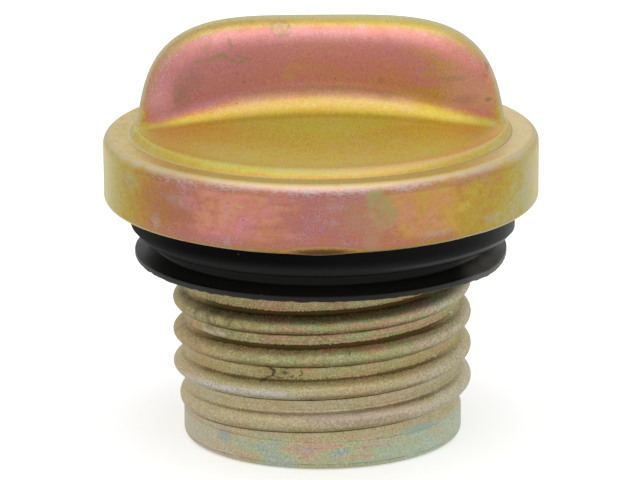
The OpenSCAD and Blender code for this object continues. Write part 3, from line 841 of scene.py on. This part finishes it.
    # Painted shade: the dark face of each crimp
    lay(between(crimp + (fine - 0.5) * 0.4 + (grain - 0.5) * 0.3, 0.2, 0.62) * 0.88,
        p.mix(between(crimp, 0.4, 0.8), (122, 84, 52), (82, 58, 38)))
    # Painted highlight on the lower edge of each crimp
    lay(between(crimp, 0.05, 0.2) * between(z, 29.06, 28.96) * 0.35, (176, 146, 120))
    gap = abs(r - CREASE_R)
    crease = between(gap, 0.13, 0.02) * hump(z, 37.2, 37.35, 37.6, 37.8)
    lay(crease * between(x + mid * 20, 0, 26, 0.1, 0.45), (120, 92, 48))
    points = between(p.cells(3, 0.45), 0.045, 0.03)
    lay(points * 0.7, (80, 64, 50))

    rough = 0.47 + (fine - 0.5) * 0.14 + bare * 0.06
    normal = p.bump(grain, 0.03, 0.5)
    normal = p.bump(mid, 0.12, 0.3, normal)
    p.set(Base_Color=p.colour, Metallic=1, Roughness=rough, Normal=normal)
    return p.material


# Colours of the duller film on the sleeve
DULL_FILM = [(0.2, 172, 186, 196), (0.32, 186, 202, 182), (0.42, 188, 204, 148),
             (0.5, 206, 198, 150), (0.58, 216, 184, 150), (0.68, 216, 166, 138),
             (0.8, 196, 176, 178)]


def sleeve_paint():
    """Dull plating over a sandy, rolled surface, with brown grime and painted shade in both
    corners of each crest, painted shade on their lower halves and towards the top left, pale
    crests that are partly rubbed and partly a painted highlight, and pastel patches, strongest
    on the plain lead."""
    p = Paint("sleeve_plating")
    between, lay = p.between, p.lay
    x, z = p.x, p.z
    big = p.noise(4, 0.13, 0.5, 2, stretch=(1, 1, 2.4))
    mid = p.noise(14, 0.36, 0.6, 4, stretch=(0.8, 0.8, 4.5))
    blot = p.noise(54, 0.6, 0.6, 4)
    fine = p.noise(24, 3, 0.65)
    sand = p.noise(34, 6, 0.7, 2)
    lead = between(z, 4.4, 3.4)
    depth, place, crest = p.field("depth"), p.field("place"), p.field("crest")
    vivid = between(z, 10, 16) * p.spot((3, -16, 17), (13, 12, 8), 0.6)
    swing = 0.6 + vivid * 1.4 + lead * 0.5
    hue = (big - 0.5) * (0.8 + lead * 0.2) + (mid - 0.5) * swing + 0.51 - lead * 0.03
    hue += lead * between(x, -9, -13) * 0.1 + (sand - 0.5) * 0.1
    hue += (fine - 0.5) * (1 - lead) * 0.3
    p.colour = p.scale_of(hue, DULL_FILM)
    plain = (1 - lead) * (1 - vivid * 0.5)
    lay(plain * 0.62, (204, 178, 116))
    lay((1 - lead) * 0.2, (198, 176, 92))
    patchy = between(mid * 0.6 + blot * 0.4, 0.42, 0.56, 0.3, 0.85)
    lay(lead * between(x, 3, 12) * patchy, (182, 226, 204))
    lay(lead * between(x, -8, -14) * 0.5, (216, 198, 176))
    lay(lead * between(x * x, 60, 220, 0.15, 0.4), (226, 222, 200))
    pale = (1 - lead) * between(z, 12.5, 8.5) * between(mid + blot, 0.8, 1.1, 0.2, 0.5)
    lay(pale, (224, 214, 188))
    # Painted shade: darker towards the top, under the seal, and towards the left
    upper_left_shade = between(z, 12.5, 14) * between(x, 8, 0, 0.3, 1) * between(blot, 0.3, 0.6)
    lay(upper_left_shade * 0.42, (146, 128, 80))
    shade = between(place, -0.05, -0.5) * depth * between(crest, 0.02, 0.2)
    lay(shade * 0.38, (136, 114, 70))
    lay(vivid * between(hue, 0.46, 0.38) * 0.45, (178, 196, 104))
    lay(vivid * between(hue, 0.56, 0.66) * 0.45, (218, 158, 120))
    lay(between(fine + sand, 0.9, 1.3) * 0.6, (240, 230, 196))
    lay(between(sand, 0.5, 0.32) * 0.42, (120, 100, 60))

    # Brown grime and painted shade in the corners of each crest: a broad ragged band above it
    # and a thin line under it
    above = place - 0.93 - (z - 10) * 0.022
    above = abs(above) + (mid - 0.5) * 0.25 + (sand - 0.5) * 0.35
    above = between(above - between(z, 10, 18, -0.02, 0.14), 0.15, 0.07)
    below = place + between(z, 8, 18, 0.94, 0.8)
    below = between(abs(below) + (mid - 0.5) * 0.06, 0.15, 0.07)
    sides = between(x * x, 280, 130, 0.12, 1)
    grime_and_shade = (above * between(z, 4, 17, 0.45, 0.9) * sides).most(below * 0.92) * depth
    lay(grime_and_shade, p.mix(between(blot, 0.4, 0.6), (96, 66, 28), (84, 70, 26)))
    # Pale crests, partly rubbed plating and partly a painted highlight on their lower halves:
    # whitish on the left of the second, bluish on the front of the lowest
    low = between(abs(place + 0.62), 0.34, 0.12) * depth
    second = p.spot((-10, -12, 9.3), (8, 12, 1.4), 0.5)
    wear_and_glint = low * between(mid * 0.5 + fine * 0.5 + second * 0.12 + between(x, 4, 15) * 0.06,
                         0.52, 0.62)
    wear_and_glint = wear_and_glint.most(crest * between(x, 7, 15) * between(fine, 0.35, 0.6) * 0.9)
    wide = between(abs(place + 0.35), 0.75, 0.3) * depth
    wear_and_glint = wear_and_glint.most(wide * second * between(fine + sand, 0.75, 1.05, 0.2, 0.95))
    wear_and_glint *= between(sand + mid, 0.85, 1.05, 0.35, 1)
    lay(wear_and_glint * between(second, 0, 1, 0.72, 0.95), (230, 228, 224))
    first = p.spot((3.5, -16.5, 6.4), (6, 6, 0.45), 0.5, (fine - 0.5) * 1.2)
    lay(first * 0.6, p.mix(between(fine, 0.4, 0.6), (160, 148, 152), (214, 176, 168)))
    top = p.spot((4, -16.5, 7), (9, 6, 0.35), 0.6, (fine - 0.5) * 2)
    lay(top * 0.35, (226, 216, 204))

    # Dirt marks left of the middle, cracks, white bits, a blue spot and black specks
    rag = (fine - 0.5) * 1.6
    marks = p.strokes([
        ([(-6.5, 12.8), (-6, 12.25), (-5.65, 12.1), (-5.9, 11.5)], 0.24, 1),
        ([(-5.9, 11.5), (-6.6, 11.1), (-7.3, 10.8)], 0.18, 0.8),
        ([(-2.55, 12.3), (-2.35, 12), (-2.7, 11.75)], 0.16, 0.8)])
    marks = marks.most(p.spots(rag, [
        ((-4.3, -16.4, 12.55), (0.22, 2, 0.18), 0.6, 0.6, 0.9),
        ((-4.45, -16.4, 11.95), (0.35, 2, 0.22), 0.6, 0.8, 0.9),
        ((-3.6, -16.4, 11.55), (0.2, 2, 0.14), 0.6, 0.6, 0.7),
        ((-5.1, -16.2, 11.25), (0.45, 2, 0.14), 0.6, 0.9, 0.7)]))
    marks *= between(fine * 0.6 + sand, 0.62, 0.8, 0.3, 1)
    marks = marks.most(p.strokes([([(-0.55, 16.8), (0.5, 16.1)], 0.07, 0.7),
                                  ([(3.3, 14.9), (3.25, 14.5)], 0.1, 0.8)]))
    marks = marks.most(p.spots(rag, [
        ((-1.38, -17.2, 8.85), (0.18, 2, 0.26), 0.3, 0, 1),
        ((-17.4, 0, 13), (0.5, 1.5, 0.3), 0.5, 1, 0.7),
        ((-14.7, -9, 15.5), (0.35, 1, 0.3), 0.5, 1, 0.8),
        ((-16.7, -4, 18.5), (0.5, 1.5, 0.4), 0.5, 1, 0.6)]))
    halo = p.spot((-5.6, -16.2, 11.9), (2.2, 3, 0.9), 0.6, rag)
    grime = p.spot((-12.5, -11, 17.6), (4.5, 5, 1.6), 0.5, rag) * between(blot, 0.45, 0.6)
    lay((grime * 0.5).most(halo * 0.3), (112, 104, 64))
    lay(marks * 0.85, (66, 58, 50))
    white = p.spots(rag, [
        ((-13.6, -10.5, 15.3), (0.9, 3, 0.25), 0.5, 1.6, 0.7),
        ((-12, -12.3, 15.5), (0.6, 3, 0.25), 0.5, 1.6, 0.7),
        ((-16.1, -6, 7.9), (0.3, 2, 0.35), 0.5, 1, 0.7),
        ((17.3, 0, 17.6), (0.8, 2, 0.7), 0.6, 1, 0.6)])
    white = white.most(p.strokes([([(15.4, 16.45), (15.6, 16.2)], 0.16, 1),
                                  ([(13.3, 12.15), (13.6, 11.95)], 0.14, 1)]))
    lay(white * 0.85, (226, 228, 220))
    blue = p.spots(rag, [((-11.9, -12.4, 3), (0.9, 2, 0.7), 0.6, 0.6, 1),
                         ((11.8, -12, 3.8), (2.6, 3, 0.5), 0.6, 0.6, 0.8)])
    lay(blue * 0.6, (160, 190, 188))
    ringline = between(abs(z - 2.9), 0.09, 0.03)
    ringline *= p.spot((3, -16, 2.9), (7.5, 6, 1), 0.4) * between(fine, 0.35, 0.5)
    lay(ringline * 0.5, (226, 208, 178))
    foot = between(abs(z - 0.75), 0.12, 0.04)
    lay(foot * between(mid, 0.4, 0.55) * 0.4, (128, 106, 72))

    rough = 0.5 + (sand - 0.5) * 0.25 + grime_and_shade * 0.2
    normal = p.bump(sand, 0.1, 0.8)
    normal = p.bump(blot, 0.12, 0.15, normal)
    p.set(Base_Color=p.colour, Metallic=1, Roughness=rough, Normal=normal)
    return p.material


def seal_paint():
    """Black moulded rubber, matt, with a fine texture and a little dust. Lighter bands on the
    lips and in the groove are painted light; the paler ends are painted sheen, and the right
    end and parting line carry painted highlights.
    """
    p = Paint("seal_rubber")
    between, hump, lay = p.between, p.hump, p.lay
    fine = p.noise(5, 4, 0.6)
    mid = p.noise(15, 0.35, 0.6)
    specks = between(p.cells(8, 0.5), 0.035, 0.02)
    x, z, side = p.x, p.z, abs(p.x)
    # Painted light: the upper lip lighter below the skirt's shadow, the shadowed groove lifted
    # from black, and the lower lip's edge lighter, most towards its ends
    lit = hump(z, 25.2, 25.8, 26, 27.4)
    p.colour = p.mix(lit, (0, 0, 0), (30, 30, 29))
    groove = hump(z, 23.1, 23.3, 24.7, 24.9)
    lay(groove * 0.8, (30, 30, 28))
    lower = between(z, 23.15, 23)
    lay(lower * between(side, 4, 21, 0.5, 1), (52, 52, 48))
    # Painted sheen on both ends of the seal
    ends = between(side, 17, 23) * between(fine, 0.3, 0.7, 0.4, 1)
    ends *= between(z + x * 0.2, 25.6, 24.8)
    lay(ends * 0.5, (52, 52, 52))
    # Painted highlights: a glint at the right end, and a lighter line along the parting line
    right_end_glint = between(x, 15.5, 19.5) * between(z, 25.4, 24.6)
    lay(right_end_glint * between(mid, 0.3, 0.7, 0.45, 0.75), (112, 110, 104))
    lay(p.field("flash") * between(x, 4, 16) * 0.5, (86, 86, 86))
    lay(specks * 0.6, (150, 140, 126))
    rough = 0.4 + (fine - 0.5) * 0.16 + (mid - 0.5) * 0.12 - between(side, 16, 22) * 0.06
    rough += between(z, 25.5, 26.5) * between(x, 14, -10) * 0.4
    normal = p.bump(fine, 0.02, 0.5)
    normal = p.bump(mid, 0.15, 0.3, normal)
    p.set(Base_Color=p.colour, Metallic=0, Roughness=rough, Specular_IOR_Level=0.13,
          Normal=normal)
    return p.material


def floor_paint():
    """Plain pale floor."""
    p = Paint("pale_floor")
    p.set(Base_Color=tint(250, 250, 250), Roughness=0.9, Emission_Color=(1, 1, 1, 1),
          Emission_Strength=0.35)
    return p.material


cover = surface("cover_sheet", *cover_rows(), cover_paint(), first="ridge", last="ridge")
seal = surface("seal_ring", *seal_rows(), seal_paint(), loop=True)
sleeve = surface("sleeve_cup", *sleeve_rows(), sleeve_paint(), first="pole", last="pole")

for piece, node, slot in ((cover, "cover", "cover_plating"), (seal, "seal", "seal_rubber"),
                          (sleeve, "threaded_sleeve", "sleeve_plating")):
    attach(piece, "root")
    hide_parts(node)


# The floor lies a hair lower than the cap's bottom, so that the two faces don't coincide
FLOOR_HALF, FLOOR_DROP = 3.0, 0.02
floor_mesh = bpy.data.meshes.new("floor")
corners = [(FLOOR_HALF * i, FLOOR_HALF * j, -FLOOR_DROP * MM)
           for i, j in ((-1, -1), (1, -1), (1, 1), (-1, 1))]
floor_mesh.from_pydata(corners, [], [(0, 1, 2, 3)])
floor_mesh.materials.append(floor_paint())
floor = show("floor", floor_mesh)
floor.visible_glossy = False


LOW_LIGHT, HIGH_LIGHT, LENS_SHADE = 0.68, 0.74, 0.95


def studio_world():
    """White all round for the camera. For light it is bright above, behind and at both
    sides, and dimmer low down and towards the front, as a white tent with a lens opening."""
    world = bpy.data.worlds.new("studio")
    world.use_nodes = True
    sky = Graph(world.node_tree, "Background")
    place = sky.node("ShaderNodeTexCoord").outputs[0]
    way = sky.node("ShaderNodeSeparateXYZ", {}, {0: place}).outputs
    bright = sky.between(way[2], -0.6, 0.5, LOW_LIGHT, HIGH_LIGHT)
    bright *= sky.between(way[1], -0.45, -0.95, 1, LENS_SHADE)
    seen = sky.number("ShaderNodeLightPath", {}, {}, "Is Camera Ray")
    sky.set(Strength=bright + seen * (1 - bright), Color=(1, 1, 1, 1))
    bpy.context.scene.world = world


def soft_light(name, place, aim, width, height, power):
    """A soft rectangular lamp at place, turned to aim."""
    lamp = bpy.data.lights.new(name, "AREA")
    lamp.shape, lamp.size, lamp.size_y, lamp.energy = "RECTANGLE", width, height, power
    made = show(name, lamp)
    made.location = place
    made.rotation_mode = "QUATERNION"
    made.rotation_quaternion = (Vector(aim) - Vector(place)).to_track_quat("-Z", "Y")


studio_world()
soft_light("top light", (0.0, -0.45, 0.80), (0, -0.45, 0.04), 0.9, 1.3, 3.0)

# The camera stands where the photo's stood: 0.7 m away, 15.45 degrees above the horizon
DISTANCE, ELEVATION, ROLL = 0.7, 15.45, 0.35
FOCAL, SENSOR = 326.8, 36.0
SHIFT_RIGHT, SHIFT_UP, PICTURE_WIDTH = -1.5, -9.6, 640
target = Vector((0, 0, 0.025))
tilt = math.radians(ELEVATION)
back = Vector((0, -math.cos(tilt), math.sin(tilt)))
lens = bpy.data.cameras.new("camera")
lens.lens, lens.sensor_width = FOCAL, SENSOR
lens.shift_x, lens.shift_y = SHIFT_RIGHT / PICTURE_WIDTH, SHIFT_UP / PICTURE_WIDTH
lens.clip_start, lens.clip_end = 0.05, 20
camera = show("camera", lens)
camera.location = target + back * DISTANCE
camera.rotation_mode = "QUATERNION"
aim = (-back).to_track_quat("-Z", "Y").to_matrix()
roll = Matrix.Rotation(math.radians(-ROLL), 3, "Z")
camera.rotation_quaternion = (aim @ roll).to_quaternion()
bpy.context.scene.camera = camera
bpy.context.scene.view_settings.view_transform = "Standard"
